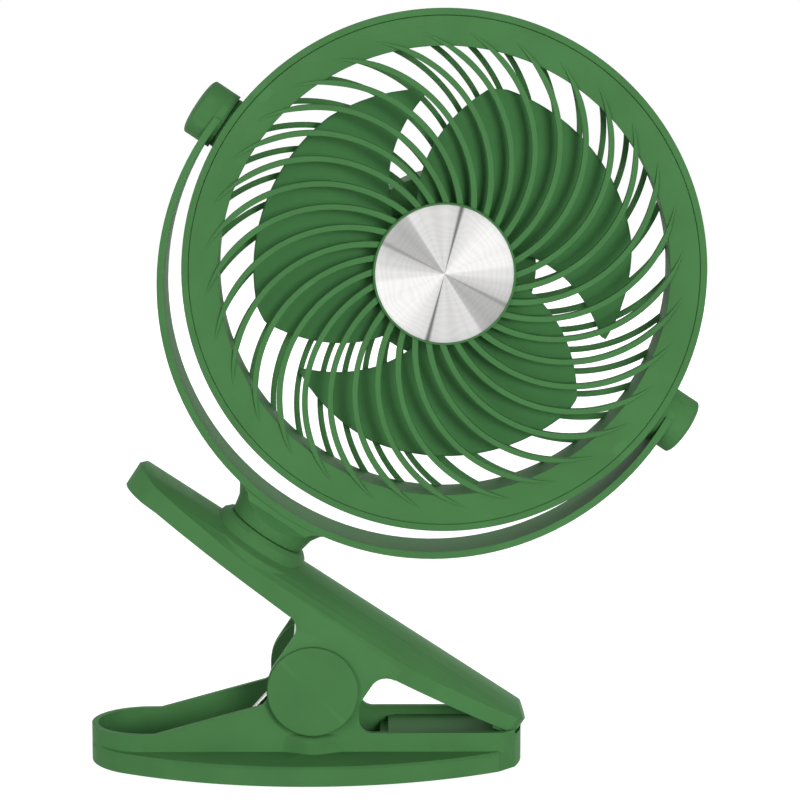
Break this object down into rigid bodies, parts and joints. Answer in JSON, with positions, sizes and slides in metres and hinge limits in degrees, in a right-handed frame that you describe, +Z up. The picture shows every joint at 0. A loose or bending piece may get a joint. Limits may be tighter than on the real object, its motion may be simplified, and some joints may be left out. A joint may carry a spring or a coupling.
{
  "type": "clip fan",
  "caption": "Small fan on a spring clip that also stands on a table; its round head tilts in a C-shaped yoke that swivels on the clip.",
  "frame": {"origin": "on the table, on the underside of the rubber sole, straight below the clip's pivot", "axes": "+X along the clip from the handles towards the jaw tips, -Y the way the fan blows, +Z up"},
  "size_m": [0.2383, 0.0868, 0.2946],
  "materials": {
    "green_plastic": "satin moulded plastic",
    "green_blade": "satin moulded plastic",
    "brushed_disc": "brushed round",
    "rubber_black": "matt",
    "spring_steel": "drawn wire",
    "zinc_steel": "zinc plated",
    "battery_wrap": "shrink wrap",
    "board": "solder mask",
    "lens": "clear moulded"
  },
  "bodies": {
    "base_body": {"base_shell": "green_plastic", "foot_pad": "rubber_black", "lower_jaw_pad": "rubber_black", "pivot_pin": "zinc_steel", "pivot_caps": "green_plastic", "torsion_spring": "spring_steel"},
    "lever_body": {"lever_shell": "green_plastic", "upper_jaw_pad": "rubber_black"},
    "yoke_body": {"yoke": "green_plastic", "swivel_bolt": "zinc_steel", "swivel_nut": "zinc_steel", "tilt_caps": "green_plastic"},
    "head_body": {"tilt_screws": "zinc_steel", "front_guard": "green_plastic", "hub_disc": "brushed_disc", "rear_shell": "green_plastic", "rear_cover": "green_plastic", "cover_screws": "zinc_steel", "motor_can": "zinc_steel", "battery": "battery_wrap", "circuit_board": "board", "usb_socket": "zinc_steel", "status_lens": "lens"},
    "impeller_body": {"impeller": "green_blade", "motor_shaft": "zinc_steel", "shaft_nut": "zinc_steel"},
    "button_body": {"power_button": "green_plastic"}
  },
  "joints": [
    {"name": "clip_open", "type": "hinge", "parent": "base_body", "child": "lever_body", "pos_m": [0, 0, 0.0334], "axis": [0, -1, 0], "range_deg": [0, 35], "stiffness_Nm_per_rad": 1.5, "springref_deg": -34.38, "deforming": ["torsion_spring"]},
    {"name": "yoke_swivel", "type": "hinge", "parent": "lever_body", "child": "yoke_body", "pos_m": [-0.01819, 0, 0.09197], "axis": [0.5563, 0, 0.831], "range_deg": [-175, 175]},
    {"name": "head_tilt", "type": "hinge", "parent": "yoke_body", "child": "head_body", "pos_m": [0.05054, 0, 0.19464], "axis": [0.831, 0, -0.5563], "range_deg": [-45, 90]},
    {"name": "impeller_spin", "type": "hinge", "parent": "head_body", "child": "impeller_body", "pos_m": [0.05054, 0, 0.19464], "axis": [0, -1, 0], "continuous": true},
    {"name": "power_press", "type": "slide", "parent": "head_body", "child": "button_body", "axis": [0, -1, 0], "range_m": [0, 0.0008], "stiffness_N_per_m": 400, "springref_m": -0.0005}
  ]
}
